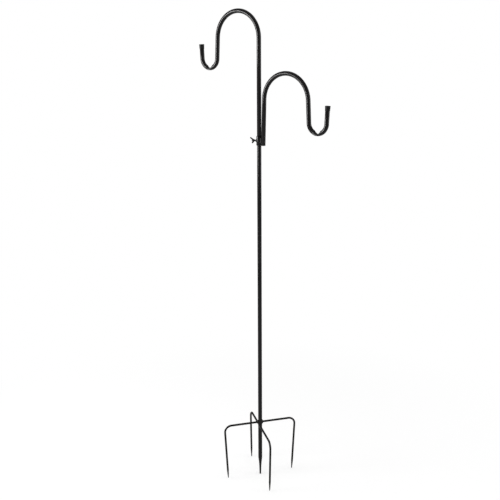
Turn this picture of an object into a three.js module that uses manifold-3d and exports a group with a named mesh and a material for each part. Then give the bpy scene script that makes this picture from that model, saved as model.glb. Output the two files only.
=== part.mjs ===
// Two-arm hanging plant stand for the garden, in millimetres, +Z up.
// A round pole of screwed sections carries a fixed hook at the top and a second hook on a clamp that
// slides and turns on the pole. Two bent rods and a crimped stake hold it in the soil.
// The origin is on the pole's axis at soil level, where the lower rod lies on the ground.
import * as THREE from 'three';
import { mergeVertices } from 'three/addons/utils/BufferGeometryUtils.js';
import Module from 'manifold-3d';

const manifold = await Module();
manifold.setup();

// ---------------------------------------------------------------- driving dimensions
// Tube and clearances
const tubeRadius = 8;
const tubeWall = 1.2;
const seatGap = 0.3; // between pieces that touch
const slideGap = 0.35; // between the sleeve and the pole
const edgeChamfer = 0.5; // on cut tube ends

// Pole, from the soil up
const stakeHeight = 219; // soil to the first screwed joint
const sectionLength = 468; // each of the two plain pole sections
const topHookStraight = 353; // last joint to the foot of the top arch

// Hooks: both are bent alike, an arch and then a small open hook the other way
const archRadius = 94;
const hookRadius = 36;
const hookSplay = THREE.MathUtils.degToRad(3); // lean of the outer leg and of the tip
const legLength = 77;
const topTipLength = 49.5;
const sideTipLength = 59.5;
const sideLegLength = 166; // foot of the side hook to the foot of its arch
const sideHookLean = THREE.MathUtils.degToRad(1.5); // that leg leans away from the pole
const seatThickness = 6.5; // what is left of the tube where the bend kinked it
const seatWidening = 0.18; // how much wider the tube gets there
const kinkShare = 0.32; // share of the small bend that the kink takes up
const kinkSquareness = 0.75; // 0 leaves the crushed tube oval, 1 squares it off towards the bend's centre

// Push-on end caps
const capWall = 1.2;
const capTop = 2;
const capLength = 17;
const capRounding = 1;

// Clamp
const sleeveWall = 2;
const sleeveHeight = 33;
const sleeveDrop = 24; // sleeve's lower end below the last joint
const bossWall = 2.4;
const bossHeight = 2.8;
const screwRadius = 3;
const screwPointShare = 0.3; // share of the screw's radius that its blunt point takes off
const screwReach = 9.4; // boss face to the wing knob
const knobHubRadius = 5;
const knobHubLength = 10;
const knobTaper = 0.9; // hub's radius below its crown, as a share of that at its open face
const knobCrownTaper = 0.55; // the same at the top of the crown
const knobCrownHeight = 1.5;
const knobSocketDepth = 8;
const wingSpan = 10.3; // knob axis to the centre of the wing's round end
const wingRise = 10; // along the axis, from the hub's middle to that centre
const wingRootRadius = 3.4;
const wingEndRadius = 2.1;
const wingThickness = 3.2;
const wingEdge = 0.5; // chamfer round the wing
const wingTurn = THREE.MathUtils.degToRad(28);

// Screwed joints
const insertWall = 1.2;
const insertLength = 20;
const studPlugLength = 14;
const studThreadLength = 16;
const studPointLength = 1.5;

// Prongs
const rodRadius = 4;
const rodPitch = 20; // height from the lower rod to the upper one
const rodTurn = THREE.MathUtils.degToRad(52.6); // upper rod from the plane of the hooks
const rodReach = 146; // pole axis to the line of the prong, at the rod's height
const bendRadius = 26;
const prongDepth = 205; // soil level to the prong ends
const prongLean = THREE.MathUtils.degToRad(3); // prongs lean in towards the stake
const prongPointLength = 36;
const prongEndRadius = 1.7;

// Stake point
const stakeDepth = 209;
const pointLength = 77; // end of the stake to where the tube is still round
const neckLength = 39; // end of the stake to the narrow neck
const neckRadius = 4.6;
const stakeEndRadius = 3;
const fluteDepth = 0.26; // share of the radius pressed in at the neck

// Welds
const weldAlongRod = 4.2;
const weldAcross = 6.6;
const weldUpDown = 8.5;
const clampWeldLength = 25;
const clampWeldRadius = 3.2;
const clampWeldOffset = 0.62; // from the plane of the hooks, as a share of the tube's radius

// Facets
const tubeSides = 20;
const roundSides = 24;
const rodSides = 12;
const archSteps = 20;
const hookSteps = 19; // odd, so that one facet of the seat lies level
const bendSteps = 7;
const swageSteps = 4;
const wingSteps = 6;
const capSteps = 3;
const beadSides = 14;
const beadRows = 10;

// ---------------------------------------------------------------- sizes that follow
const boreRadius = tubeRadius - tubeWall;
const firstJoint = stakeHeight;
const secondJoint = firstJoint + sectionLength;
const lastJoint = secondJoint + sectionLength;
const sleeveBore = tubeRadius + slideGap;
const sleeveRadius = sleeveBore + sleeveWall;
const sleeveFoot = lastJoint - sleeveDrop;
const sleeveMiddle = sleeveFoot + sleeveHeight / 2;
const sideLegOffset = sleeveRadius + seatGap + tubeRadius;
const screwHole = screwRadius + seatGap;
const bossRadius = screwHole + bossWall;
const bossFace = sleeveRadius + bossHeight;
const knobFace = bossFace + screwReach;
const insertRadius = boreRadius - seatGap;
const threadRadius = insertRadius - insertWall - seatGap;
const lowerRodHeight = rodRadius;
const upperRodHeight = lowerRodHeight + rodPitch;
const rodHole = rodRadius + seatGap;

// ---------------------------------------------------------------- materials
const paint = { color: 0x252223, roughness: 0.42, metalness: 0.15 };
const vinyl = { color: 0x171717, roughness: 0.6, metalness: 0 };
const zinc = { color: 0x8d9094, roughness: 0.4, metalness: 0.9 };

// ---------------------------------------------------------------- making solids
function merged(geometry) {
  const bare = geometry.clone();
  bare.deleteAttribute('normal');
  bare.deleteAttribute('uv');
  return mergeVertices(bare, 1e-4);
}

function toSolid(geometry) {
  const bare = merged(geometry);
  const mesh = new manifold.Mesh({
    numProp: 3,
    vertProperties: new Float32Array(bare.attributes.position.array),
    triVerts: new Uint32Array(bare.index.array),
  });
  mesh.merge();
  return new manifold.Manifold(mesh);
}

function toGeometry(solid) {
  const mesh = solid.getMesh();
  const geometry = new THREE.BufferGeometry();
  geometry.setAttribute('position', new THREE.BufferAttribute(mesh.vertProperties, 3));
  geometry.setIndex(new THREE.BufferAttribute(mesh.triVerts, 1));
  geometry.computeVertexNormals();
  return geometry;
}

// A piece with each of the cutters taken out of it.
function cut(geometry, ...cutters) {
  const solid = cutters.reduce((rest, cutter) => rest.subtract(toSolid(cutter)), toSolid(geometry));
  return toGeometry(solid);
}

function join(...pieces) {
  return toGeometry(pieces.map(toSolid).reduce((whole, piece) => whole.add(piece)));
}

// A profile of [radius, height] points turned about Z.
function revolve(profile, sides = roundSides) {
  const points = profile.map(([radius, height]) => new THREE.Vector2(radius, height));
  return new THREE.LatheGeometry(points, sides).rotateX(Math.PI / 2);
}

// A solid bar along Z between two heights.
function bar(radius, low, high, sides = roundSides) {
  return new THREE.CylinderGeometry(radius, radius, high - low, sides)
    .rotateX(Math.PI / 2)
    .translate(0, 0, (low + high) / 2);
}

// A plain tube along Z with its outer edges eased.
function straightTube(outer, inner, low, high) {
  return revolve([
    [inner, low],
    [outer - edgeChamfer, low],
    [outer, low + edgeChamfer],
    [outer, high - edgeChamfer],
    [outer - edgeChamfer, high],
    [inner, high],
    [inner, low],
  ]);
}

// Skin over a row of rings with equal counts of points. Rings run counter-clockwise seen from the
// end of the row. A looped row joins its last ring to its first, any other gets flat ends.
function loft(rings, looped) {
  const sides = rings[0].length;
  const points = rings.flat();
  const faces = [];
  const spans = looped ? rings.length : rings.length - 1;
  for (let i = 0; i < spans; i += 1) {
    const here = i * sides;
    const next = ((i + 1) % rings.length) * sides;
    for (let j = 0; j < sides; j += 1) {
      const k = (j + 1) % sides;
      faces.push(here + j, here + k, next + k, here + j, next + k, next + j);
    }
  }
  if (!looped) {
    const last = (rings.length - 1) * sides;
    for (let j = 1; j < sides - 1; j += 1) {
      faces.push(0, j + 1, j);
      faces.push(last, last + j, last + j + 1);
    }
  }
  const geometry = new THREE.BufferGeometry().setFromPoints(points);
  geometry.setIndex(faces);
  geometry.computeVertexNormals();
  return geometry;
}

// A path in the XZ plane, built like a drawing pen: each stretch starts where the last one ended.
// Headings are angles from +X towards +Z.
class BentPath {
  constructor(x, z, heading) {
    this.stations = [{ x, z, heading, crush: 0, distance: 0 }];
  }

  get end() {
    return this.stations[this.stations.length - 1];
  }

  line(length) {
    const { x, z, heading, distance } = this.end;
    this.stations.push({
      x: x + length * Math.cos(heading),
      z: z + length * Math.sin(heading),
      heading,
      crush: 0,
      distance: distance + length,
    });
    return this;
  }

  // A round bend, to the left for a positive sweep. crushAt gives how far the tube is pressed flat.
  arc(radius, sweep, steps, crushAt = () => 0) {
    const { x, z, heading, distance } = this.end;
    const side = Math.sign(sweep);
    const centreX = x - side * radius * Math.sin(heading);
    const centreZ = z + side * radius * Math.cos(heading);
    for (let i = 1; i <= steps; i += 1) {
      const turned = heading + (sweep * i) / steps;
      this.stations.push({
        x: centreX + side * radius * Math.sin(turned),
        z: centreZ - side * radius * Math.cos(turned),
        heading: turned,
        crush: crushAt(i / steps),
        distance: distance + (Math.abs(sweep) * radius * i) / steps,
      });
    }
    return this;
  }
}

// The ring round one station: section points are [across, out], out being left of the heading.
function placeRing(station, section) {
  const { x, z, heading } = station;
  const outX = -Math.sin(heading);
  const outZ = Math.cos(heading);
  return section.map(([across, out]) => new THREE.Vector3(x + outX * out, across, z + outZ * out));
}

function circleSection(radius, sides) {
  return Array.from({ length: sides }, (_, i) => {
    const angle = ((i + 0.5) / sides) * 2 * Math.PI;
    return [radius * Math.cos(angle), radius * Math.sin(angle)];
  });
}

// ---------------------------------------------------------------- hooks
// Section of the hook's tube, inset from its outer skin. Where it is crushed it lies flat against the
// outside of the bend, wider than the tube and squared off towards the bend's centre.
function hookSection(inset, crush) {
  const squareness = 1 - kinkSquareness * crush;
  const width = tubeRadius * (1 + seatWidening * crush) - inset;
  const halfThickness = THREE.MathUtils.lerp(tubeRadius, seatThickness / 2, crush);
  const middle = tubeRadius - halfThickness;
  return circleSection(1, tubeSides).map(([across, out]) => {
    const depth = out > 0 ? out : -(Math.abs(out) ** squareness);
    return [across * width, middle + depth * (halfThickness - inset)];
  });
}

// The kink: full at the two rings of the middle facet, and gone at its share of the bend.
function hookCrush(share) {
  const fromMiddle = Math.abs(2 * share - 1);
  const halfFacet = 1 / hookSteps;
  return 1 - THREE.MathUtils.clamp((fromMiddle - halfFacet) / (kinkShare - halfFacet), 0, 1);
}

// The path of a hook that starts at the origin, rises, arches over towards -X and hooks up again.
// Its rising leg may lean towards -X.
function hookPath({ straight, tip, lean }) {
  return new BentPath(0, 0, Math.PI / 2 + lean)
    .line(edgeChamfer)
    .line(straight - edgeChamfer)
    .arc(archRadius, Math.PI - hookSplay - lean, archSteps)
    .line(legLength)
    .arc(hookRadius, -(Math.PI - 2 * hookSplay), hookSteps, hookCrush)
    .line(tip);
}

function hookTube(hook) {
  const { stations } = hookPath(hook);
  const skin = stations.map((station, i) => {
    const inset = i === 0 ? edgeChamfer : 0;
    return placeRing(station, hookSection(inset, station.crush));
  });
  const bore = stations.map((station) => placeRing(station, hookSection(tubeWall, station.crush)));
  return loft([...skin, ...bore.reverse()], true);
}

// A vinyl cap pushed over the end of the tube, leaning with it.
function hookCap(hook) {
  const bore = tubeRadius + seatGap;
  const outer = bore + capWall;
  const top = seatGap + capTop;
  const foot = top - capLength;
  const rim = Array.from({ length: capSteps + 1 }, (_, i) => {
    const angle = (i / capSteps) * (Math.PI / 2);
    const radius = outer - capRounding * (1 - Math.cos(angle));
    return [radius, top - capRounding * (1 - Math.sin(angle))];
  });
  const profile = [[bore, foot], [outer, foot], ...rim, [0, top]];
  const { x, z, heading } = hookPath(hook).end;
  return revolve([[0, seatGap], [bore, seatGap], ...profile])
    .rotateY(Math.PI / 2 - heading)
    .translate(x, 0, z);
}

// ---------------------------------------------------------------- clamp
function sleeve() {
  const screwCut = bar(screwHole, 0, sleeveRadius + seatGap).rotateY(-Math.PI / 2);
  return cut(straightTube(sleeveRadius, sleeveBore, -sleeveHeight / 2, sleeveHeight / 2), screwCut);
}

// The round boss that the screw threads into, shaped to the sleeve. It points to -X.
function boss() {
  const ring = revolve([
    [screwHole, 0],
    [bossRadius, 0],
    [bossRadius, bossFace - edgeChamfer],
    [bossRadius - edgeChamfer, bossFace],
    [screwHole, bossFace],
    [screwHole, 0],
  ]).rotateY(-Math.PI / 2);
  return cut(ring, bar(sleeveRadius + seatGap, -sleeveHeight, sleeveHeight));
}

// A fillet along the groove between the sleeve and the leg of the side hook.
function clampWeld(side) {
  const bead = new THREE.SphereGeometry(1, beadSides, beadRows)
    .scale(clampWeldRadius, clampWeldRadius, clampWeldLength / 2)
    .translate(sleeveRadius, side * tubeRadius * clampWeldOffset, 0);
  const aroundSleeve = bar(sleeveRadius + seatGap, -sleeveHeight, sleeveHeight);
  const aroundLeg = bar(tubeRadius + seatGap, -sleeveHeight, 2 * sleeveHeight)
    .rotateY(sideHookLean)
    .translate(sideLegOffset, 0, -sleeveHeight / 2);
  return cut(bead, aroundSleeve, aroundLeg);
}

// The headless clamping screw, along +Z from its tip at the pole to its end in the knob.
function clampScrew() {
  const tip = tubeRadius + seatGap;
  const end = knobFace + knobSocketDepth - seatGap;
  return revolve([
    [0, tip],
    [screwRadius * (1 - screwPointShare), tip],
    [screwRadius, tip + screwRadius * screwPointShare],
    [screwRadius, end],
    [0, end],
  ]);
}

// One wing: a narrow ear from the hub out to a smaller round end, drawn in the XY plane.
function wing() {
  const tilt = Math.atan2(wingSpan, wingRise);
  const reach = Math.hypot(wingSpan, wingRise);
  const lean = Math.acos((wingRootRadius - wingEndRadius) / reach);
  const outline = new THREE.Shape()
    .absarc(0, 0, wingRootRadius, tilt + lean, tilt - lean + 2 * Math.PI, false)
    .absarc(wingRise, wingSpan, wingEndRadius, tilt - lean, tilt + lean, false);
  return new THREE.ExtrudeGeometry(outline, {
    depth: wingThickness - 2 * wingEdge,
    bevelEnabled: true,
    bevelThickness: wingEdge,
    bevelSize: wingEdge,
    bevelOffset: -wingEdge,
    bevelSegments: 1,
    curveSegments: wingSteps,
  }).translate(0, 0, wingEdge - wingThickness / 2);
}

// Moulded hub with two wings, along +Z from its open face; the wings stand in the XZ plane.
function wingKnob() {
  const middle = knobFace + knobHubLength / 2;
  const hub = revolve([
    [0, knobFace],
    [knobHubRadius, knobFace],
    [knobHubRadius * knobTaper, knobFace + knobHubLength - knobCrownHeight],
    [knobHubRadius * knobCrownTaper, knobFace + knobHubLength],
    [0, knobFace + knobHubLength],
  ]);
  const ear = wing().rotateX(Math.PI / 2).rotateY(-Math.PI / 2).translate(0, 0, middle);
  const otherEar = ear.clone().rotateZ(Math.PI);
  const socket = bar(screwRadius + seatGap, knobFace - 1, knobFace + knobSocketDepth);
  return cut(join(hub, ear, otherEar), socket);
}

// ---------------------------------------------------------------- screwed joints
// Threaded bush in the top of a tube, its upper end level with the tube's.
function threadInsert(top) {
  return revolve([
    [threadRadius + seatGap, top - insertLength],
    [insertRadius, top - insertLength],
    [insertRadius, top],
    [threadRadius + seatGap, top],
    [threadRadius + seatGap, top - insertLength],
  ]);
}

// Plug in the foot of a tube with the threaded stud that goes down into the bush below.
function threadStud(foot) {
  const end = foot - studThreadLength;
  return revolve([
    [0, end],
    [threadRadius - studPointLength, end],
    [threadRadius, end + studPointLength],
    [threadRadius, foot],
    [insertRadius, foot],
    [insertRadius, foot + studPlugLength],
    [0, foot + studPlugLength],
  ]);
}

// ---------------------------------------------------------------- prongs and stake
// One rod bent down at both ends into pointed prongs, in the XZ plane at the given height.
function prongRod(height) {
  const corner = Math.PI / 2 + prongLean;
  const cutBack = bendRadius * Math.tan(corner / 2);
  const drop = (height + prongDepth) / Math.cos(prongLean);
  const endX = rodReach - (height + prongDepth) * Math.tan(prongLean);
  const path = new BentPath(-endX, -prongDepth, Math.PI / 2 + prongLean)
    .line(prongPointLength)
    .line(drop - cutBack - prongPointLength)
    .arc(bendRadius, -corner, bendSteps)
    .line(2 * (rodReach - cutBack))
    .arc(bendRadius, -corner, bendSteps)
    .line(drop - cutBack - prongPointLength)
    .line(prongPointLength);
  const last = path.stations.length - 1;
  const rings = path.stations.map((station, i) => {
    const radius = i === 0 || i === last ? prongEndRadius : rodRadius;
    return placeRing(station, circleSection(radius, rodSides));
  });
  return loft(rings, false);
}

// Ring of the stake at one height, with four flutes pressed in between its ridges.
function stakeRing(height, radius, flute) {
  return circleSection(1, roundSides).map(([x, y]) => {
    const angle = Math.atan2(y, x);
    const pressed = radius * (1 - flute * 0.5 * (1 - Math.cos(4 * angle)));
    return new THREE.Vector3(pressed * x, pressed * y, height);
  });
}

// The lowest tube: open at the top, drilled for the two rods, and crimped shut to a point.
function stakeTube() {
  const end = -stakeDepth;
  const neck = end + neckLength;
  const shoulder = end + pointLength;
  const top = firstJoint - seatGap / 2;
  const skin = [stakeRing(end, stakeEndRadius, fluteDepth / 2)];
  for (let i = 0; i <= swageSteps; i += 1) {
    const share = i / swageSteps;
    const radius = THREE.MathUtils.lerp(neckRadius, tubeRadius, share);
    const eased = THREE.MathUtils.smoothstep(share, 0, 1);
    skin.push(stakeRing(THREE.MathUtils.lerp(neck, shoulder, share), radius, fluteDepth * (1 - eased)));
  }
  skin.push(stakeRing(top - edgeChamfer, tubeRadius, 0), stakeRing(top, tubeRadius - edgeChamfer, 0));
  const bore = [stakeRing(top, boreRadius, 0), stakeRing(shoulder + tubeWall, boreRadius, 0)];
  const blank = loft([...skin, ...bore], false);
  const drill = bar(rodHole, -2 * tubeRadius, 2 * tubeRadius).rotateY(Math.PI / 2);
  const upperDrill = drill.clone().rotateZ(rodTurn).translate(0, 0, upperRodHeight);
  const lowerDrill = drill.clone().rotateZ(rodTurn + Math.PI / 2).translate(0, 0, lowerRodHeight);
  return cut(blank, upperDrill, lowerDrill);
}

// A weld round the rod where it leaves the stake, on the +X side.
function rodWeld() {
  const bead = new THREE.SphereGeometry(1, beadSides, beadRows)
    .rotateX(Math.PI / 2)
    .scale(weldAlongRod, weldAcross, weldUpDown)
    .translate(tubeRadius, 0, 0);
  const aroundStake = bar(tubeRadius + seatGap, -2 * weldUpDown, 2 * weldUpDown);
  const aroundRod = bar(rodHole, 0, 3 * tubeRadius, rodSides).rotateY(Math.PI / 2);
  return cut(bead, aroundStake, aroundRod);
}

// ---------------------------------------------------------------- assembly
const stand = new THREE.Group();

function place(name, geometry, look, x = 0, z = 0, turn = 0) {
  const mesh = new THREE.Mesh(geometry, new THREE.MeshStandardMaterial(look));
  mesh.name = name;
  mesh.position.set(x, 0, z);
  mesh.rotation.z = turn;
  stand.add(mesh);
  return mesh;
}

// Stake with its two prong rods, crossed at right angles one above the other
place('stake_tube', stakeTube(), paint);
place('upper_prong_rod', prongRod(upperRodHeight), paint, 0, 0, rodTurn);
place('lower_prong_rod', prongRod(lowerRodHeight), paint, 0, 0, rodTurn + Math.PI / 2);
place('upper_rod_weld_a', rodWeld(), paint, 0, upperRodHeight, rodTurn);
place('upper_rod_weld_b', rodWeld(), paint, 0, upperRodHeight, rodTurn + Math.PI);
place('lower_rod_weld_a', rodWeld(), paint, 0, lowerRodHeight, rodTurn + Math.PI / 2);
place('lower_rod_weld_b', rodWeld(), paint, 0, lowerRodHeight, rodTurn - Math.PI / 2);

// Pole sections
const halfSeam = seatGap / 2;
const poleTube = (low, high) => straightTube(tubeRadius, boreRadius, low + halfSeam, high - halfSeam);
place('lower_pole_tube', poleTube(firstJoint, secondJoint), paint);
place('upper_pole_tube', poleTube(secondJoint, lastJoint), paint);

// Screwed joints between the sections
const joints = { stake: firstJoint, lower: secondJoint, upper: lastJoint };
for (const [name, height] of Object.entries(joints)) {
  place(`${name}_thread_insert`, threadInsert(height - halfSeam), zinc);
  place(`${name}_thread_stud`, threadStud(height + halfSeam), zinc);
}

// Top hook
const topHook = { straight: topHookStraight, tip: topTipLength, lean: 0 };
const topHookFoot = lastJoint + halfSeam;
place('top_hook_tube', hookTube(topHook), paint, 0, topHookFoot);
place('top_hook_cap', hookCap(topHook), vinyl, 0, topHookFoot);

// Side hook with its clamp; it faces the other way
const sideHook = { straight: sideLegLength, tip: sideTipLength, lean: sideHookLean };
place('side_hook_tube', hookTube(sideHook), paint, sideLegOffset, sleeveFoot, Math.PI);
place('side_hook_cap', hookCap(sideHook), vinyl, sideLegOffset, sleeveFoot, Math.PI);
place('clamp_sleeve', sleeve(), paint, 0, sleeveMiddle);
place('clamp_boss', boss(), paint, 0, sleeveMiddle);
place('clamp_weld_front', clampWeld(-1), paint, 0, sleeveMiddle);
place('clamp_weld_back', clampWeld(1), paint, 0, sleeveMiddle);

// Clamping screw and its wing knob, pointing away from the side hook
const screw = place('clamp_screw', clampScrew(), zinc, 0, sleeveMiddle);
screw.rotation.set(0, -Math.PI / 2, 0);
const knob = place('wing_knob', wingKnob(), vinyl, 0, sleeveMiddle);
knob.rotation.set(wingTurn, -Math.PI / 2, 0);

export default stand;
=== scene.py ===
import math

import bmesh
import bpy
import numpy as np
from mathutils import Matrix


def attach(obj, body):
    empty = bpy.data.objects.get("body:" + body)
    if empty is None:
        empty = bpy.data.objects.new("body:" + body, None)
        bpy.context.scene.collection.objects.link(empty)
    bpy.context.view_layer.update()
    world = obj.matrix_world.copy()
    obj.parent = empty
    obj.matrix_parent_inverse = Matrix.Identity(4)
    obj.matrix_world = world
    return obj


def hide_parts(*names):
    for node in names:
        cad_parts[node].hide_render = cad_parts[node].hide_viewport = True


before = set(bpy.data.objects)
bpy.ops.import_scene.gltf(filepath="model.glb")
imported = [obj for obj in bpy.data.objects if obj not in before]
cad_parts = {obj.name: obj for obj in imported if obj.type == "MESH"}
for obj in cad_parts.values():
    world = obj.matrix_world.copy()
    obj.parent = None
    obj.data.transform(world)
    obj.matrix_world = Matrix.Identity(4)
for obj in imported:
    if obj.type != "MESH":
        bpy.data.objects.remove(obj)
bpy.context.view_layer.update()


# ---------------------------------------------------------------- powder coat
# Every steel piece outside is finished in black powder coat: a satin polyester film baked on after
# welding, so it runs over the beads and joints. It has a fine orange-peel skin.
def feed(tree, value, socket):
    """Sets a node's input to a number, or links it to another node's output."""
    if isinstance(value, float):
        socket.default_value = value
    else:
        tree.links.new(value, socket)


def noise(tree, coords, scale, detail):
    """Noise with features of about 1 / scale metres, read at the given coordinates."""
    node = tree.nodes.new("ShaderNodeTexNoise")
    feed(tree, coords, node.inputs["Vector"])
    feed(tree, scale, node.inputs["Scale"])
    feed(tree, detail, node.inputs["Detail"])
    return node.outputs["Fac"]


def stretch(tree, value, low, high):
    """Straight-line map of a 0 to 1 value on to low to high."""
    node = tree.nodes.new("ShaderNodeMapRange")
    feed(tree, value, node.inputs["Value"])
    feed(tree, low, node.inputs["To Min"])
    feed(tree, high, node.inputs["To Max"])
    return node.outputs["Result"]


def calculated(tree, operation, *values):
    """The result of one Math node on numbers or other nodes' outputs."""
    node = tree.nodes.new("ShaderNodeMath")
    node.operation = operation
    for value, socket in zip(values, node.inputs):
        feed(tree, value, socket)
    return node.outputs[0]


def coated_skin():
    """Node group for every finish. Color wanders between Base and Drift in clouds, Roughness by 0.05
    either way in patches, and Height is the orange peel plus a quarter of a fine grain."""
    group = bpy.data.node_groups.new("coated_skin", "ShaderNodeTree")
    sockets = [
        ("Base", "INPUT", "NodeSocketColor"),
        ("Drift", "INPUT", "NodeSocketColor"),
        ("Roughness", "INPUT", "NodeSocketFloat"),
        ("Peel Scale", "INPUT", "NodeSocketFloat"),
        ("Color", "OUTPUT", "NodeSocketColor"),
        ("Roughness", "OUTPUT", "NodeSocketFloat"),
        ("Height", "OUTPUT", "NodeSocketFloat"),
    ]
    for label, side, kind in sockets:
        group.interface.new_socket(label, in_out=side, socket_type=kind)
    given = group.nodes.new("NodeGroupInput").outputs
    result = group.nodes.new("NodeGroupOutput").inputs
    coords = group.nodes.new("ShaderNodeTexCoord").outputs["Object"]

    tone = group.nodes.new("ShaderNodeMix")
    tone.data_type = "RGBA"
    share, plain, drifted = (tone.inputs[k] for k in (0, 6, 7))  # its factor and colours A and B
    feed(group, noise(group, coords, 22.0, 3.0), share)
    feed(group, given["Base"], plain)
    feed(group, given["Drift"], drifted)
    feed(group, tone.outputs[2], result["Color"])

    patches = stretch(group, noise(group, coords, 60.0, 4.0), -0.05, 0.05)
    feed(group, calculated(group, "ADD", patches, given["Roughness"]), result["Roughness"])

    peel = noise(group, coords, given["Peel Scale"], 2.0)
    grain = noise(group, coords, 2600.0, 1.0)
    feed(group, calculated(group, "MULTIPLY_ADD", grain, 0.25, peel), result["Height"])
    return group


skin = coated_skin()


def coated(name, base, drift, roughness, peel_scale, bump, metallic=0.0, gloss=0.35):
    """A Principled material whose colour, roughness and bump come from the coated_skin group. The
    peel's features are about 1 / peel_scale metres, and bump is its depth in metres."""
    material = bpy.data.materials.new(name)
    material.use_nodes = True
    tree = material.node_tree
    shader = tree.nodes["Principled BSDF"]
    shader.inputs["Metallic"].default_value = metallic
    shader.inputs["Specular IOR Level"].default_value = gloss
    group = tree.nodes.new("ShaderNodeGroup")
    group.node_tree = skin
    group.inputs["Base"].default_value = (*base, 1)
    group.inputs["Drift"].default_value = (*drift, 1)
    group.inputs["Roughness"].default_value = roughness
    group.inputs["Peel Scale"].default_value = peel_scale
    relief = tree.nodes.new("ShaderNodeBump")
    relief.inputs["Distance"].default_value = bump
    tree.links.new(group.outputs["Color"], shader.inputs["Base Color"])
    tree.links.new(group.outputs["Roughness"], shader.inputs["Roughness"])
    tree.links.new(group.outputs["Height"], relief.inputs["Height"])
    tree.links.new(relief.outputs["Normal"], shader.inputs["Normal"])
    return material


powder_coat = coated(
    "powder_coat",
    base=(0.0085, 0.0078, 0.0081),
    drift=(0.0125, 0.0115, 0.0120),
    roughness=0.23,
    peel_scale=420.0,
    bump=0.000012,
)


# ---------------------------------------------------------------- stake
# Lowest piece of the pole: 16 mm steel tube, drilled crosswise for the prong rods. Its end is swaged
# down and crimped into four flutes, and its open top takes the first threaded bush.
def surface(name, *grids, loop_rows=False):
    """One mesh over grids of points[row, column], given in millimetres. Columns close on themselves,
    and rows do if loop_rows. Rows advance along an axis and columns run right-handed round it, so
    faces point out."""
    points, quads, first = [], [], 0
    for rows in grids:
        count, sides = rows.shape[:2]
        i = np.arange(count if loop_rows else count - 1)[:, None]
        j = np.arange(sides)[None, :]
        row, next_row, next_j = i * sides, (i + 1) % count * sides, (j + 1) % sides
        corners = np.stack([row + j, row + next_j, next_row + next_j, next_row + j], -1)
        quads.append(corners.reshape(-1, 4) + first)
        points.append(rows.reshape(-1, 3) * 0.001)
        first += count * sides
    mesh = bpy.data.meshes.new(name)
    mesh.from_pydata(np.concatenate(points).tolist(), [], np.concatenate(quads).tolist())
    shell = bmesh.new()
    shell.from_mesh(mesh)
    bmesh.ops.remove_doubles(shell, verts=shell.verts, dist=1e-7)
    shell.to_mesh(mesh)
    shell.free()
    mesh.polygons.foreach_set("use_smooth", np.ones(len(mesh.polygons), bool))
    piece = bpy.data.objects.new(name, mesh)
    bpy.context.scene.collection.objects.link(piece)
    return piece


def fit(piece, body, slot, material, *nodes):
    """The piece takes the place of its CAD nodes, rides their body and wears the material."""
    piece.data.materials.append(material)
    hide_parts(*nodes)
    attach(piece, body)


def turned(radius, height, sides=64):
    """Surface of revolution about Z: a profile of radii and heights carried round a circle."""
    angle = np.linspace(0, 2 * np.pi, sides, endpoint=False)
    radius, height = np.asarray(radius, float)[:, None], np.asarray(height, float)[:, None]
    return np.stack([radius * np.cos(angle), radius * np.sin(angle), height + 0 * angle], -1)


def eased_corner(radius, height, size, start, steps=5):
    """Quarter circle of the given size in a profile, centred at (radius, height), from start degrees."""
    angle = np.radians(start + np.linspace(0, 90, steps))
    return radius + size * np.cos(angle), height + size * np.sin(angle)


tube_radius = 8.0
tube_wall = 1.2
bore_radius = tube_radius - tube_wall
cut_edge = 0.5  # rounding of the ends of a cut tube
seam = 0.15  # from a screwed joint to the tube's end
stake_top = 219.0
stake_end = -209.0
neck = stake_end + 39.0
shoulder = stake_end + 77.0
neck_radius = 5.2
end_radius = 3.4
end_chamfer = 0.6
neck_flute = 0.24  # share of the radius that the crimp takes off between its ridges
end_flute = 0.12


def stake_rows():
    """Turned profile, straight from the end to the neck and on to the shoulder. At the angle a round
    it the radius loses flute * ((1 - cos 4a) / 2) ^ 0.8 of itself, and the flute fades by a smooth
    step from the neck to the shoulder. The bore stops at the shoulder."""
    z = np.concatenate([
        np.linspace(stake_end + end_chamfer, neck, 24),
        np.linspace(neck, shoulder, 40)[1:],
        [0.0],
    ])
    swage = np.interp(z, [stake_end, neck, shoulder], [end_radius, neck_radius, tube_radius])
    fade = np.clip((z - neck) / (shoulder - neck), 0, 1)
    fade = fade * fade * (3 - 2 * fade)
    flute = np.interp(z, [stake_end, neck], [end_flute, neck_flute]) * (1 - fade)
    top = stake_top - seam
    bore_end = shoulder + tube_wall
    rim_r, rim_z = eased_corner(tube_radius - cut_edge, top - cut_edge, cut_edge, 0)
    radius = np.concatenate([[0, end_radius - end_chamfer], swage, rim_r, [bore_radius] * 2, [0]])
    height = np.concatenate([[stake_end, stake_end], z, rim_z, [top, bore_end, bore_end]])
    depth = np.concatenate([[0, end_flute], flute, np.zeros(len(rim_r) + 3)])
    rows = turned(radius, height, 96)
    angle = np.linspace(0, 2 * np.pi, 96, endpoint=False)
    groove = (0.5 * (1 - np.cos(4 * angle))) ** 0.8
    rows[..., :2] *= (1 - depth[:, None] * groove)[..., None]
    return rows


stake = surface("stake", stake_rows())
fit(stake, "stand", "powder_coat", powder_coat, "stake_tube")


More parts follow.
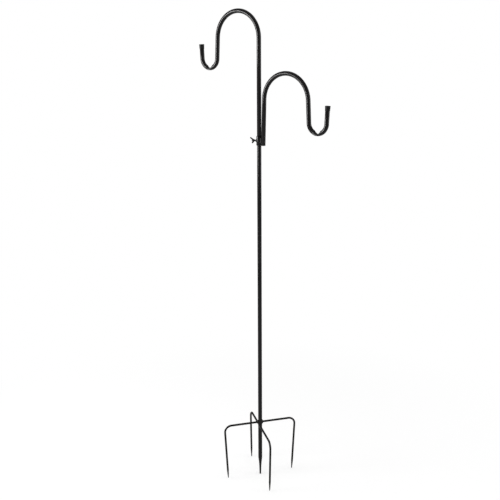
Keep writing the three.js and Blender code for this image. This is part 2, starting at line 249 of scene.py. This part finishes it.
# ---------------------------------------------------------------- prong rods
# Two 8 mm steel rods pass right through the stake, one above the other at right angles. Each is bent
# down at both ends into a prong that leans in a little and is ground to a blunt point.
def pen_path(x, z, heading, *moves):
    """Stations (x, z, heading, share) of a path in the XZ plane. A move (length,) is a straight line,
    (radius, sweep, steps) an arc to the left for a positive sweep; share runs 0 to 1 along each arc."""
    out = [np.array([[x, z, heading, 0.0]])]
    for move in moves:
        x, z, heading, _ = out[-1][-1]
        if len(move) == 1:
            length, = move
            x, z = x + length * math.cos(heading), z + length * math.sin(heading)
            out.append(np.array([[x, z, heading, 0.0]]))
            continue
        radius, sweep, steps = move
        share = np.linspace(0, 1, steps + 1)[1:]
        side = math.copysign(1, sweep)
        headings = heading + sweep * share
        centre_x = x - side * radius * math.sin(heading)
        centre_z = z + side * radius * math.cos(heading)
        arc_x = centre_x + side * radius * np.sin(headings)
        arc_z = centre_z - side * radius * np.cos(headings)
        out.append(np.stack([arc_x, arc_z, headings, share], 1))
    return np.concatenate(out)


def carried(path, across, outward):
    """Section points (across, outward), one row for each station, set square to the path. Across lies
    along Y and outward to the left of the heading."""
    x, z, heading = (path[:, k, None] for k in range(3))
    return np.stack([x - np.sin(heading) * outward, across, z + np.cos(heading) * outward], -1)


def closed(rows):
    """The rows with each end drawn in to a point at the middle of its ring."""
    first, last = (np.broadcast_to(rows[k].mean(0), rows[k].shape)[None] for k in (0, -1))
    return np.concatenate([first, rows, last])


def turn_about_z(points, angle, dx=0.0, dz=0.0):
    """The points turned about Z by the angle, then moved along X and Z."""
    c, s = math.cos(angle), math.sin(angle)
    x, y, z = points[..., 0], points[..., 1], points[..., 2]
    return np.stack([c * x - s * y + dx, s * x + c * y, z + dz], -1)


rod_radius = 4.0
rod_heights = {"upper": 24.0, "lower": 4.0}
rod_turns = {"upper": math.radians(52.6), "lower": math.radians(142.6)}
rod_reach = 146.0  # pole's axis to the line of the prong, at the rod's height
bend_radius = 26.0
bend_flattening = 0.03
prong_depth = 205.0
prong_lean = math.radians(3)
point_length = 36.0
blunt_steps = [0.25, 0.45]  # lengths of the rounded end
blunt_radii = [0.9, 1.45, 1.75]  # radii at the end and after each of them


def prong_rod(rod_z):
    """Circles carried up one prong, along the rod and down the other prong. Their radius falls in a
    straight line over the point, and they are flattened by 3 percent in the middle of each bend."""
    corner = math.pi / 2 + prong_lean
    cut_back = bend_radius * math.tan(corner / 2)
    drop = (rod_z + prong_depth) / math.cos(prong_lean)
    foot_x = rod_reach - (rod_z + prong_depth) * math.tan(prong_lean)
    prong = [
        *((step,) for step in blunt_steps),
        (point_length - sum(blunt_steps),),
        (drop - cut_back - point_length,),
        (bend_radius, -corner, 28),
    ]
    crosspiece = (2 * (rod_reach - cut_back),)
    path = pen_path(-foot_x, -prong_depth, corner, *prong, crosspiece, *prong[::-1])
    radius = np.full(len(path), rod_radius)
    radius[:3], radius[-3:] = blunt_radii, blunt_radii[::-1]
    pressed = radius * (1 - bend_flattening * np.sin(np.pi * path[:, 3]))
    angle = np.linspace(0, 2 * np.pi, 40, endpoint=False)
    return closed(carried(path, radius[:, None] * np.cos(angle), pressed[:, None] * np.sin(angle)))


for level, rod_z in rod_heights.items():
    rod = surface(f"{level}_rod", turn_about_z(prong_rod(rod_z), rod_turns[level]))
    fit(rod, "stand", "powder_coat", powder_coat, f"{level}_prong_rod")


# ---------------------------------------------------------------- rod welds
# A hand-run bead goes right round each rod where it leaves the stake, on both sides. The powder coat
# covers it, but its overlapping puddles still show.
def bowed(start, knee, end, v):
    """Curve from start to end as v runs 0 to 1, drawn towards the knee: a quadratic Bezier."""
    return (1 - v) ** 2 * start + 2 * v * (1 - v) * knee + v ** 2 * end


def bead_ring(stake_skin, rod_skin, throat, spread, lift):
    """Ring round a rod along +X. For each angle a round the rod the section runs from the stake's skin,
    spread (wide) to lift (high) from the rod's axis, over a bulge to the rod's skin at throat along it,
    and back through the corner between them. The knee that draws out the bulge lies 72 percent of the
    way along and 62 percent of the way up. Fifteen puddles swell it by 0.14 mm either way."""
    a = np.linspace(0, 2 * np.pi, 120, endpoint=False)[:, None]
    v = np.linspace(0, 1, 13)[None, :]
    puddle = 0.5 + 0.5 * np.cos(15 * a - 2.2 * np.sin(np.pi * v))
    far = 1 / np.sqrt((np.cos(a) / spread) ** 2 + (np.sin(a) / lift) ** 2)
    on_stake = np.sqrt(stake_skin ** 2 - (far * np.cos(a)) ** 2)
    corner = np.sqrt(stake_skin ** 2 - (rod_skin * np.cos(a)) ** 2)
    on_rod = corner + throat * (0.92 + 0.08 * np.cos(15 * a))
    knee_x = on_stake + 0.72 * (on_rod - on_stake)
    knee_r = rod_skin + 0.62 * (far - rod_skin)
    swell = 0.28 * np.sin(np.pi * v) * (puddle - 0.5)
    x = bowed(on_stake, knee_x, on_rod, v) + swell * 0.6
    r = bowed(far, knee_r, rod_skin, v) + swell
    x = np.concatenate([x, corner - 0.1], 1)
    r = np.concatenate([r, 0 * a + rod_skin], 1)
    return np.stack([x, r * np.cos(a), r * np.sin(a)], -1)[:, ::-1]


weld_seat = 0.05  # the bead's underside lies this far off the steel
ring = bead_ring(tube_radius + weld_seat, rod_radius + weld_seat, throat=4.8, spread=7.0, lift=9.8)
for level, rod_z in rod_heights.items():
    for end, side in (("a", 0.0), ("b", math.pi)):
        rows = turn_about_z(ring, rod_turns[level] + side, dz=rod_z)
        bead = surface(f"{level}_rod_bead_{end}", rows, loop_rows=True)
        fit(bead, "stand", "powder_coat", powder_coat, f"{level}_rod_weld_{end}")


# ---------------------------------------------------------------- pole sections
# Two plain lengths of the same tube. Each has a threaded bush pressed into its top and a stud in its
# foot, so the pole screws together; only a hairline shows at the joints.
def plain_tube(outer, inner, low, high):
    """Turned profile of a cut tube from low to high, with its outer edges rounded."""
    low_r, low_z = eased_corner(outer - cut_edge, low + cut_edge, cut_edge, -90)
    high_r, high_z = eased_corner(outer - cut_edge, high - cut_edge, cut_edge, 0)
    radius = np.concatenate([[inner], low_r, high_r, [inner]])
    height = np.concatenate([[low], low_z, high_z, [high]])
    return turned(radius, height)


section_length = 468.0
middle_joint = stake_top + section_length
last_joint = middle_joint + section_length
sections = {
    "lower": ("stand", stake_top, middle_joint),
    "upper": ("upper_pole", middle_joint, last_joint),
}
for level, (body, low, high) in sections.items():
    rows = plain_tube(tube_radius, bore_radius, low + seam, high - seam)
    section = surface(f"{level}_section", rows, loop_rows=True)
    fit(section, body, "powder_coat", powder_coat, f"{level}_pole_tube")


# ---------------------------------------------------------------- bushes and studs
# Threaded bushes and plug-ended studs in bright zinc plate, hidden in the tubes where the sections
# screw together. They keep their machined shapes.
zinc_plate = coated(
    "zinc_plate",
    base=(0.50, 0.51, 0.53),
    drift=(0.42, 0.44, 0.47),
    roughness=0.32,
    peel_scale=900.0,
    bump=0.00001,
    metallic=1.0,
)
for joint in ("stake", "lower", "upper"):
    for half in ("insert", "stud"):
        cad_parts[f"{joint}_thread_{half}"].material_slots[0].material = zinc_plate


# ---------------------------------------------------------------- hooks
# Both hooks are the same tube drawn round an arch and then round a tight former the other way. The
# tight bend kinked the tube at its middle: there it lies flat against the outside of the bend and
# spreads to the sides.
arch_radius = 94.0
hook_radius = 36.0
hook_steps = 90
splay = math.radians(3)
leg_length = 77.0
seat_thickness = 6.5  # what is left of the tube at the kink
kink_share = 0.32  # share of the tight bend that the kink takes up
flat_share = 1 / 19
kink_widening = 0.18
kink_squareness = 0.75


def hook_path(straight, tip, lean):
    """Up from the origin, over an arch towards -X, down the leg, round the tight bend and up the tip."""
    return pen_path(
        0.0, 0.0, math.pi / 2 + lean,
        (cut_edge,), (straight - cut_edge,), (arch_radius, math.pi - splay - lean, 96), (leg_length,),
        (hook_radius, -(math.pi - 2 * splay), hook_steps), (tip - cut_edge,), (cut_edge,),
    )


def crushed_section(path, inset):
    """Section at each station, inset from the outer skin. On the tight bend crush goes from 0 to 1 over
    a third of the bend; there the section is an oval 6.5 mm thick with its inner half squared off."""
    station = np.arange(len(path))
    bend_start = len(path) - 2 - hook_steps
    on_tight_bend = (station >= bend_start) & (station < bend_start + hook_steps)
    from_middle = np.where(on_tight_bend, np.abs(2 * path[:, 3] - 1), 1)
    crush = 1 - np.clip((from_middle - flat_share) / (kink_share - flat_share), 0, 1)[:, None]
    inset = np.asarray(inset, float).reshape(-1, 1)
    angle = (np.linspace(0, 2 * np.pi, 64, endpoint=False) + np.pi / 64)[None, :]
    side, out = np.cos(angle), np.sin(angle)
    width = tube_radius * (1 + kink_widening * crush) - inset
    half_thickness = tube_radius + (seat_thickness / 2 - tube_radius) * crush
    depth = np.where(out > 0, out, -np.abs(out) ** (1 - kink_squareness * crush))
    return side * width, tube_radius - half_thickness + depth * (half_thickness - inset)


def hook_tube(path):
    """Outer skin up the path and the bore back down it, joined at both cut ends."""
    eased = np.zeros(len(path))
    eased[[0, -1]] = cut_edge
    outer = carried(path, *crushed_section(path, eased))
    inner = carried(path, *crushed_section(path, tube_wall))
    return np.concatenate([outer, inner[::-1]])


cap_gap = 0.3
cap_foot = -14.7  # heights from the end of the tube
cap_top = 2.3
cap_rim = 8.7  # outer radii at the foot and at the crown
cap_crown = 9.5
cap_rounding = 1.1


def hook_cap(path):
    """Cap profile turned about the tip's own axis: bore, thin rolled lower rim, a wall that widens
    upwards, rounded crown."""
    x, z, heading, _ = path[-1]
    lean = math.pi / 2 - heading
    bore = tube_radius + cap_gap
    rim_r, rim_z = eased_corner(cap_rim - 0.2, cap_foot + 0.2, 0.2, -90)
    crown_r, crown_z = eased_corner(cap_crown - cap_rounding, cap_top - cap_rounding, cap_rounding, 0, 9)
    radius = np.concatenate([[0, bore, bore], rim_r, crown_r, [0]])
    height = np.concatenate([[cap_gap, cap_gap, cap_foot], rim_z, crown_z, [cap_top]])
    points = turned(radius, height)
    c, s = math.cos(lean), math.sin(lean)
    px, py, pz = points[..., 0], points[..., 1], points[..., 2]
    return np.stack([c * px + s * pz + x, py, c * pz - s * px + z], -1)


black_vinyl = coated(
    "black_vinyl",
    base=(0.0050, 0.0050, 0.0052),
    drift=(0.0075, 0.0075, 0.0077),
    roughness=0.50,
    peel_scale=900.0,
    bump=0.00001,
)
side_lean = math.radians(1.5)
side_leg_x = 18.65
side_leg_foot = 1131.0
# Straight length, tip and lean, then the body, the turn about the pole and where the foot stands.
hooks = {
    "top": (353.0, 49.5, 0.0, "stand", 0.0, 0.0, last_joint + seam),
    "side": (166.0, 59.5, side_lean, "side_hook", math.pi, side_leg_x, side_leg_foot),
}
for level, (straight, tip, lean, body, turn, foot_x, foot_z) in hooks.items():
    path = hook_path(straight, tip, lean)
    rows = turn_about_z(hook_tube(path), turn, foot_x, foot_z)
    tube = surface(f"{level}_hook", rows, loop_rows=True)
    fit(tube, body, "powder_coat", powder_coat, f"{level}_hook_tube")
    cap = surface(f"{level}_cap", turn_about_z(hook_cap(path), turn, foot_x, foot_z))
    fit(cap, body, "black_vinyl", black_vinyl, f"{level}_hook_cap")


# ---------------------------------------------------------------- clamp sleeve and boss
# A short piece of larger tube that slides on the pole. A round boss is welded to it for the screw,
# opposite the leg of the side hook.
sleeve_radius = 10.35
sleeve_bore = 8.35
sleeve_low = side_leg_foot
sleeve_high = sleeve_low + 33.0
clamp_height = (sleeve_low + sleeve_high) / 2
rows = plain_tube(sleeve_radius, sleeve_bore, sleeve_low, sleeve_high)
sleeve = surface("sleeve", rows, loop_rows=True)
fit(sleeve, "side_hook", "powder_coat", powder_coat, "clamp_sleeve")

boss_radius = 5.6
boss_hole = 3.3
boss_face = 13.15
touch = 0.02  # from the clamp's welds and boss to the steel under them
sleeve_skin = sleeve_radius + touch


def boss_rows():
    """Round boss along -X. Its foot follows the sleeve, at depth sqrt(R^2 - y^2) for each point, and
    the edge of its face is rounded over 0.6 mm."""
    angle = np.linspace(0, 2 * np.pi, 64, endpoint=False)[None, :]
    radius = boss_radius - np.array([boss_radius - boss_hole, 0, 0, 0.25, 0.6, boss_radius - boss_hole])
    reach = boss_face - np.array([boss_face, boss_face, 0.6, 0.2, 0, 0])
    y, z = radius[:, None] * np.sin(angle), radius[:, None] * np.cos(angle)
    foot = np.sqrt(sleeve_skin ** 2 - y ** 2)
    x = np.where(reach[:, None] == 0, foot, reach[:, None])
    return np.stack([-x, y, z + clamp_height], -1)


boss = surface("screw_boss", boss_rows(), loop_rows=True)
fit(boss, "side_hook", "powder_coat", powder_coat, "clamp_boss")


# ---------------------------------------------------------------- clamp welds
# A bead down each side of the groove where the hook's leg lies against the sleeve.
# It was run by hand from the bottom up, so its puddles lie one over the next.
clamp_weld_length = 25.0
puddle_pitch = 2.3
leg_skin = tube_radius + touch


def bead_in_groove(side):
    """Rows up the groove, columns round the bead: over a bulge from 37 degrees round the sleeve to 48
    degrees round the leg, and back down both skins into the groove. Both ends are rounded off by
    size, which falls as sqrt(1 - (2s - 1)^8) along the length s."""
    s = np.linspace(0, 1, 60)[:, None]
    v = np.linspace(0, 1, 11)[None, :]
    up = (s - 0.5) * clamp_weld_length
    leg_x = side_leg_x + math.tan(side_lean) * (up + clamp_height - side_leg_foot)
    size = np.sqrt(np.clip(1 - (2 * s - 1) ** 8, 0, 1)) * 0.92 + 0.08
    puddle = 0.5 + 0.5 * np.cos(2 * np.pi * up / puddle_pitch + 1.2 * np.sin(np.pi * v))
    sleeve_at = np.radians(16 + 21 * size)
    leg_at = np.radians(20 + 28 * size)
    ax, ay = sleeve_skin * np.cos(sleeve_at), sleeve_skin * np.sin(sleeve_at)
    bx, by = leg_x - leg_skin * np.cos(leg_at), leg_skin * np.sin(leg_at)
    x = bowed(ax, (ax + bx) / 2, bx, v)
    y = bowed(ay, (ay + by) / 2 + 1.9 * size, by, v)
    y = y + 0.12 * np.sin(np.pi * v) * (puddle - 0.6) * size
    down_leg = leg_at * np.linspace(0.75, 0.25, 3)[None, :]
    up_sleeve = sleeve_at * np.linspace(0.25, 0.75, 3)[None, :]
    x = np.concatenate([x, leg_x - leg_skin * np.cos(down_leg), sleeve_skin * np.cos(up_sleeve)], 1)
    y = np.concatenate([y, leg_skin * np.sin(down_leg), sleeve_skin * np.sin(up_sleeve)], 1)
    rows = np.stack([x, side * y, clamp_height + up + 0 * x], -1)
    return closed(rows[:, ::-1] if side > 0 else rows)


for face, side in (("front", -1), ("back", 1)):
    bead = surface(f"clamp_bead_{face}", bead_in_groove(side))
    fit(bead, "side_hook", "powder_coat", powder_coat, f"clamp_weld_{face}")


# ---------------------------------------------------------------- clamping screw
# Headless 6 mm screw in black oxide, driven into the knob. It goes through boss and sleeve and bears
# on the pole.
def threaded(radius, root, start, end, pitch, point):
    """Thread along +Z: the radius at height z and angle a follows a rounded triangle wave of
    z / pitch - a / 360 degrees, between root and crest, and fades into a cone at the start."""
    z = np.arange(start, end + 1e-6, pitch / 10)[:, None]
    a = np.linspace(0, 2 * np.pi, 48, endpoint=False)[None, :]
    wave = np.arccos(0.97 * np.cos(2 * np.pi * z / pitch - a)) / np.pi
    r = root + (radius - root) * wave
    r = np.minimum(r, radius - point + (z - start))
    rows = np.stack([r * np.cos(a), r * np.sin(a), z + 0 * a], -1)
    ends = rows[[0, -1]] * [0, 0, 1]
    return np.concatenate([ends[:1], rows, ends[1:]])


def on_screw_axis(points, turn=0.0):
    """Points made round +Z, laid along -X at the clamp's height and turned about that axis."""
    y, z = points[..., 1], points[..., 0]
    c, s = math.cos(turn), math.sin(turn)
    return np.stack([-points[..., 2], c * y - s * z, s * y + c * z + clamp_height], -1)


black_oxide = coated(
    "black_oxide",
    base=(0.022, 0.022, 0.024),
    drift=(0.034, 0.033, 0.034),
    roughness=0.30,
    peel_scale=700.0,
    bump=0.00002,
    metallic=0.7,
)
thread = threaded(radius=3.0, root=2.4, start=8.3, end=30.25, pitch=1.0, point=0.9)
screw = surface("screw", on_screw_axis(thread))
fit(screw, "clamp_screw", "blackened_steel", black_oxide, "clamp_screw")


# ---------------------------------------------------------------- wing knob
# Moulded nylon knob in one piece: a tapered hub on the screw's end and two narrow ears swept back
# from it. The ears and the hub run into each other with generous fillets.
knob_face = 22.55
knob_turn = math.radians(28)
hub_length = 9.4
crown_rounding = 1.5
socket_radius = 3.3
socket_depth = 8.0
ear_span = 12.2
ear_rise = 12.6
ear_thickness = 4.6
ear_foot = knob_face + 1.8


def hub_rows():
    """Turned profile from the bottom of the screw's socket out over the open face, whose rim is eased
    by 0.4 mm, and up a wall that draws in to the rounded crown."""
    crown_r, crown_z = eased_corner(2.4, hub_length - crown_rounding, crown_rounding, 0, 7)
    radius = [[0, socket_radius, socket_radius], [4.2, 4.6, 4.4], crown_r, [0]]
    height = [[socket_depth, socket_depth, 0], [0, 0.4, 5.0], crown_z, [hub_length]]
    return turned(np.concatenate(radius), knob_face + np.concatenate(height), 48)


def ear_rows():
    """An ear from the hub's axis to its round end: oval sections along the curve rise * s^1.25 over
    span * s, slim at the waist and fuller at the end, and closed by a quarter circle past s = 0.86."""
    s = np.linspace(0, 1, 40)[:, None]
    a = np.linspace(0, 2 * np.pi, 32, endpoint=False)[None, :]
    along = [0.0, 0.35, 0.7, 1.0]
    half_width = np.interp(s, along, [3.6, 3.1, 2.75, 2.8])
    half_thick = ear_thickness * np.interp(s, along, [0.62, 0.5, 0.46, 0.5])
    close = np.sqrt(np.clip(1 - np.clip((s - 0.86) / 0.14, 0, 1) ** 2, 0, 1))
    slope = np.arctan2(1.25 * ear_rise * np.maximum(s, 0.02) ** 0.25, ear_span)
    w, t = half_width * close * np.cos(a), half_thick * close * np.sin(a)
    out = ear_span * s - w * np.sin(slope)
    back = ear_foot + ear_rise * s ** 1.25 + w * np.cos(slope)
    return np.stack([out, t, back], -1)


# The second ear is the first turned half round the axis.
moulding = [hub_rows(), ear_rows(), ear_rows() * [-1, -1, 1]]
knob = surface("knob", *(on_screw_axis(rows, knob_turn) for rows in moulding))
remesh = knob.modifiers.new("one_moulding", "REMESH")
remesh.mode = "VOXEL"
remesh.voxel_size = 0.00032
remesh.use_smooth_shade = True
soften = knob.modifiers.new("fillets", "SMOOTH")
soften.factor = 0.5
soften.iterations = 8
nylon = coated(
    "nylon",
    base=(0.0035, 0.0035, 0.0037),
    drift=(0.0055, 0.0055, 0.0058),
    roughness=0.45,
    peel_scale=1100.0,
    bump=0.00001,
    gloss=0.2,
)
fit(knob, "wing_knob", "knob_plastic", nylon, "wing_knob")


# ---------------------------------------------------------------- studio
# White sweep with the stand on its points. A low softbox on the left gives the sheen on the arches,
# a broad weak one lifts the right side of the tubes, and one overhead lights the floor and tops.
def white_when_seen(tree, glossy_share):
    """1 for camera and transmission rays and glossy_share for glossy ones, else 0."""
    ray = tree.nodes.new("ShaderNodeLightPath").outputs
    direct = calculated(tree, "MAXIMUM", ray["Is Camera Ray"], ray["Is Transmission Ray"])
    seen = calculated(tree, "MULTIPLY_ADD", ray["Is Glossy Ray"], glossy_share, direct)
    seen.node.use_clamp = True
    return seen


# The floor is matte near the stand, so that it keeps the shadow, and plain white beyond 1.6 metres.
floor_z = stake_end * 0.001
half = 40.0
square = [(-half, -half), (half, -half), (half, half), (-half, half)]
floor_mesh = bpy.data.meshes.new("floor")
floor_mesh.from_pydata([(x, y, floor_z) for x, y in square], [], [(0, 1, 2, 3)])
floor = bpy.data.objects.new("floor", floor_mesh)
bpy.context.scene.collection.objects.link(floor)
floor_white = bpy.data.materials.new("floor_white")
floor_white.use_nodes = True
floor_tree = floor_white.node_tree
floor_tree.nodes.clear()
seen = white_when_seen(floor_tree, 0.06)
matte = floor_tree.nodes.new("ShaderNodeBsdfDiffuse")
matte.inputs["Color"].default_value = (0.4, 0.4, 0.4, 1)
lift = floor_tree.nodes.new("ShaderNodeEmission")
feed(floor_tree, calculated(floor_tree, "MULTIPLY", seen, 0.63), lift.inputs["Strength"])
near = floor_tree.nodes.new("ShaderNodeAddShader")
feed(floor_tree, matte.outputs[0], near.inputs[0])
feed(floor_tree, lift.outputs[0], near.inputs[1])
reach = floor_tree.nodes.new("ShaderNodeVectorMath")
reach.operation = "LENGTH"
feed(floor_tree, floor_tree.nodes.new("ShaderNodeTexCoord").outputs["Object"], reach.inputs[0])
far = floor_tree.nodes.new("ShaderNodeMapRange")
far.interpolation_type = "SMOOTHSTEP"
far.inputs["From Min"].default_value = 0.5
far.inputs["From Max"].default_value = 1.6
feed(floor_tree, reach.outputs["Value"], far.inputs["Value"])
sweep = floor_tree.nodes.new("ShaderNodeEmission")
whole = floor_tree.nodes.new("ShaderNodeMixShader")
feed(floor_tree, calculated(floor_tree, "MULTIPLY", far.outputs["Result"], seen), whole.inputs[0])
feed(floor_tree, near.outputs[0], whole.inputs[1])
feed(floor_tree, sweep.outputs[0], whole.inputs[2])
floor_out = floor_tree.nodes.new("ShaderNodeOutputMaterial")
feed(floor_tree, whole.outputs[0], floor_out.inputs["Surface"])
floor.data.materials.append(floor_white)


stand_middle = 0.9


def softbox(name, azimuth, elevation, distance, width, height, power):
    """Area light in watts at an azimuth (0 in front, positive to +X) and elevation in degrees, and at a
    distance from the stand's middle that it faces."""
    lamp = bpy.data.lights.new(name, "AREA")
    lamp.shape = "RECTANGLE"
    lamp.size, lamp.size_y = width, height
    lamp.energy = power
    holder = bpy.data.objects.new(name, lamp)
    a, e = math.radians(azimuth), math.radians(elevation)
    away = np.array([math.sin(a) * math.cos(e), -math.cos(a) * math.cos(e), math.sin(e)])
    holder.location = np.array([0, 0, stand_middle]) + away * distance
    holder.rotation_euler = (math.pi / 2 - e, 0, a)
    bpy.context.scene.collection.objects.link(holder)
    return holder


softbox("key", -42, 7, 3.4, 1.2, 0.9, 65)
softbox("right", 118, 12, 3.2, 1.2, 2.2, 26)
overhead = softbox("overhead", 20, 84, 3.6, 2.4, 2.4, 90)
overhead.visible_glossy = False

# The world is white when seen, a weak fill for diffuse light and weaker still in reflections, so that
# the black tubes stay dark between their highlights.
world = bpy.data.worlds.new("studio")
bpy.context.scene.world = world
world.use_nodes = True
world_tree = world.node_tree
background = world_tree.nodes["Background"]
background.inputs["Color"].default_value = (1, 1, 1, 1)
glossy = world_tree.nodes.new("ShaderNodeLightPath").outputs["Is Glossy Ray"]
fill = stretch(world_tree, white_when_seen(world_tree, 0.0), 0.32, 1.0)
dimmed = stretch(world_tree, glossy, 1.0, 0.45)
feed(world_tree, calculated(world_tree, "MULTIPLY", fill, dimmed), background.inputs["Strength"])

# The camera was fitted to the photograph, which is 500 pixels wide with a focal length of 763.5.
camera = bpy.data.cameras.new("photo_view")
camera.sensor_width = 36.0
camera.lens = 763.5 / 500 * 36.0
camera.shift_x = -9.55 / 500
view_azimuth, view_down, view_roll = (math.radians(angle) for angle in (36.95, 14.85, -0.2))
view_distance, view_height = 2.785, 1.4752
viewpoint = bpy.data.objects.new("photo_view", camera)
viewpoint.location = (
    view_distance * math.sin(view_azimuth),
    -view_distance * math.cos(view_azimuth),
    view_height,
)
aim = Matrix.Rotation(view_azimuth, 3, "Z") @ Matrix.Rotation(math.pi / 2 - view_down, 3, "X")
viewpoint.rotation_euler = (aim @ Matrix.Rotation(view_roll, 3, "Z")).to_euler()
bpy.context.scene.collection.objects.link(viewpoint)
bpy.context.scene.camera = viewpoint
bpy.context.scene.view_settings.view_transform = "Standard"
